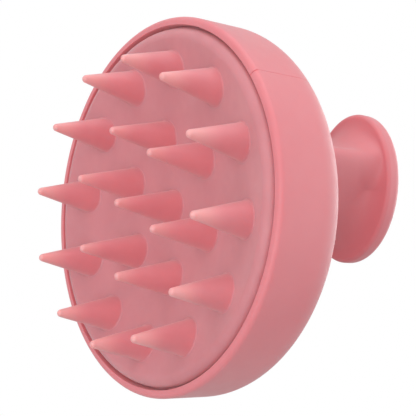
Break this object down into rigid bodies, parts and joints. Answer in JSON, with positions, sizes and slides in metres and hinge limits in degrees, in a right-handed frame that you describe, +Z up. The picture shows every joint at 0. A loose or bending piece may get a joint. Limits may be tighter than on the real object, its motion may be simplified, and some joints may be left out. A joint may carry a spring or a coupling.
{
  "type": "scalp massager brush",
  "caption": "Round hand-held scalp massager: soft blunt cone bristles on a dished silicone pad, in a domed housing with a waisted finger grip.",
  "frame": {"origin": "on the round housing's axis, at the level of the outer bristles' tips, where the brush stands", "axes": "+Z up from the bristle tips to the grip; +X along the grip plate's long axis, with the grip set off the housing's axis towards -X; the front is -Y"},
  "size_m": [0.08, 0.08, 0.0732],
  "materials": {
    "housing_plastic": "soft matt pink ABS, fine moulded grain",
    "silicone": "matt pink silicone, slightly translucent",
    "carrier_plastic": "natural white moulded plastic, hidden inside",
    "screw_steel": "plain stainless steel"
  },
  "bodies": {
    "brush_body": {"housing": "housing_plastic", "bristle_pad": "silicone", "pad_carrier": "carrier_plastic", "carrier_screws": "screw_steel"},
    "bristle_centre_body": {"bristle_centre": "silicone"},
    "bristle_inner_01_body": {"bristle_inner_01": "silicone"},
    "bristle_inner_02_body": {"bristle_inner_02": "silicone"},
    "bristle_inner_03_body": {"bristle_inner_03": "silicone"},
    "bristle_inner_04_body": {"bristle_inner_04": "silicone"},
    "bristle_inner_05_body": {"bristle_inner_05": "silicone"},
    "bristle_inner_06_body": {"bristle_inner_06": "silicone"},
    "bristle_outer_01_body": {"bristle_outer_01": "silicone"},
    "bristle_outer_02_body": {"bristle_outer_02": "silicone"},
    "bristle_outer_03_body": {"bristle_outer_03": "silicone"},
    "bristle_outer_04_body": {"bristle_outer_04": "silicone"},
    "bristle_outer_05_body": {"bristle_outer_05": "silicone"},
    "bristle_outer_06_body": {"bristle_outer_06": "silicone"},
    "bristle_outer_07_body": {"bristle_outer_07": "silicone"},
    "bristle_outer_08_body": {"bristle_outer_08": "silicone"},
    "bristle_outer_09_body": {"bristle_outer_09": "silicone"},
    "bristle_outer_10_body": {"bristle_outer_10": "silicone"},
    "bristle_outer_11_body": {"bristle_outer_11": "silicone"},
    "bristle_outer_12_body": {"bristle_outer_12": "silicone"}
  },
  "joints": [
    {"name": "bristle_centre_bend", "type": "hinge", "parent": "brush_body", "child": "bristle_centre_body", "pos_m": [0, 0, 0.01486], "axis": [0, 1, 0], "range_deg": [-25, 25], "stiffness_Nm_per_rad": 0.013},
    {"name": "bristle_inner_01_bend", "type": "hinge", "parent": "brush_body", "child": "bristle_inner_01_body", "pos_m": [0.01075, 0.01075, 0.01386], "axis": [0, 1, 0], "range_deg": [-25, 25], "stiffness_Nm_per_rad": 0.013},
    {"name": "bristle_inner_02_bend", "type": "hinge", "parent": "brush_body", "child": "bristle_inner_02_body", "pos_m": [-0.00393, 0.01468, 0.01386], "axis": [0, 1, 0], "range_deg": [-25, 25], "stiffness_Nm_per_rad": 0.013},
    {"name": "bristle_inner_03_bend", "type": "hinge", "parent": "brush_body", "child": "bristle_inner_03_body", "pos_m": [-0.01468, 0.00393, 0.01386], "axis": [0, 1, 0], "range_deg": [-25, 25], "stiffness_Nm_per_rad": 0.013},
    {"name": "bristle_inner_04_bend", "type": "hinge", "parent": "brush_body", "child": "bristle_inner_04_body", "pos_m": [-0.01075, -0.01075, 0.01386], "axis": [0, 1, 0], "range_deg": [-25, 25], "stiffness_Nm_per_rad": 0.013},
    {"name": "bristle_inner_05_bend", "type": "hinge", "parent": "brush_body", "child": "bristle_inner_05_body", "pos_m": [0.00393, -0.01468, 0.01386], "axis": [0, 1, 0], "range_deg": [-25, 25], "stiffness_Nm_per_rad": 0.013},
    {"name": "bristle_inner_06_bend", "type": "hinge", "parent": "brush_body", "child": "bristle_inner_06_body", "pos_m": [0.01468, -0.00393, 0.01386], "axis": [0, 1, 0], "range_deg": [-25, 25], "stiffness_Nm_per_rad": 0.013},
    {"name": "bristle_outer_01_bend", "type": "hinge", "parent": "brush_body", "child": "bristle_outer_01_body", "pos_m": [0.0293, 0, 0.0111], "axis": [0, 1, 0], "range_deg": [-25, 25], "stiffness_Nm_per_rad": 0.013},
    {"name": "bristle_outer_02_bend", "type": "hinge", "parent": "brush_body", "child": "bristle_outer_02_body", "pos_m": [0.02538, 0.01465, 0.0111], "axis": [0, 1, 0], "range_deg": [-25, 25], "stiffness_Nm_per_rad": 0.013},
    {"name": "bristle_outer_03_bend", "type": "hinge", "parent": "brush_body", "child": "bristle_outer_03_body", "pos_m": [0.01465, 0.02538, 0.0111], "axis": [0, 1, 0], "range_deg": [-25, 25], "stiffness_Nm_per_rad": 0.013},
    {"name": "bristle_outer_04_bend", "type": "hinge", "parent": "brush_body", "child": "bristle_outer_04_body", "pos_m": [0, 0.0293, 0.0111], "axis": [0, 1, 0], "range_deg": [-25, 25], "stiffness_Nm_per_rad": 0.013},
    {"name": "bristle_outer_05_bend", "type": "hinge", "parent": "brush_body", "child": "bristle_outer_05_body", "pos_m": [-0.01465, 0.02538, 0.0111], "axis": [0, 1, 0], "range_deg": [-25, 25], "stiffness_Nm_per_rad": 0.013},
    {"name": "bristle_outer_06_bend", "type": "hinge", "parent": "brush_body", "child": "bristle_outer_06_body", "pos_m": [-0.02538, 0.01465, 0.0111], "axis": [0, 1, 0], "range_deg": [-25, 25], "stiffness_Nm_per_rad": 0.013},
    {"name": "bristle_outer_07_bend", "type": "hinge", "parent": "brush_body", "child": "bristle_outer_07_body", "pos_m": [-0.0293, 0, 0.0111], "axis": [0, 1, 0], "range_deg": [-25, 25], "stiffness_Nm_per_rad": 0.013},
    {"name": "bristle_outer_08_bend", "type": "hinge", "parent": "brush_body", "child": "bristle_outer_08_body", "pos_m": [-0.02538, -0.01465, 0.0111], "axis": [0, 1, 0], "range_deg": [-25, 25], "stiffness_Nm_per_rad": 0.013},
    {"name": "bristle_outer_09_bend", "type": "hinge", "parent": "brush_body", "child": "bristle_outer_09_body", "pos_m": [-0.01465, -0.02538, 0.0111], "axis": [0, 1, 0], "range_deg": [-25, 25], "stiffness_Nm_per_rad": 0.013},
    {"name": "bristle_outer_10_bend", "type": "hinge", "parent": "brush_body", "child": "bristle_outer_10_body", "pos_m": [0, -0.0293, 0.0111], "axis": [0, 1, 0], "range_deg": [-25, 25], "stiffness_Nm_per_rad": 0.013},
    {"name": "bristle_outer_11_bend", "type": "hinge", "parent": "brush_body", "child": "bristle_outer_11_body", "pos_m": [0.01465, -0.02538, 0.0111], "axis": [0, 1, 0], "range_deg": [-25, 25], "stiffness_Nm_per_rad": 0.013},
    {"name": "bristle_outer_12_bend", "type": "hinge", "parent": "brush_body", "child": "bristle_outer_12_body", "pos_m": [0.02538, -0.01465, 0.0111], "axis": [0, 1, 0], "range_deg": [-25, 25], "stiffness_Nm_per_rad": 0.013}
  ]
}
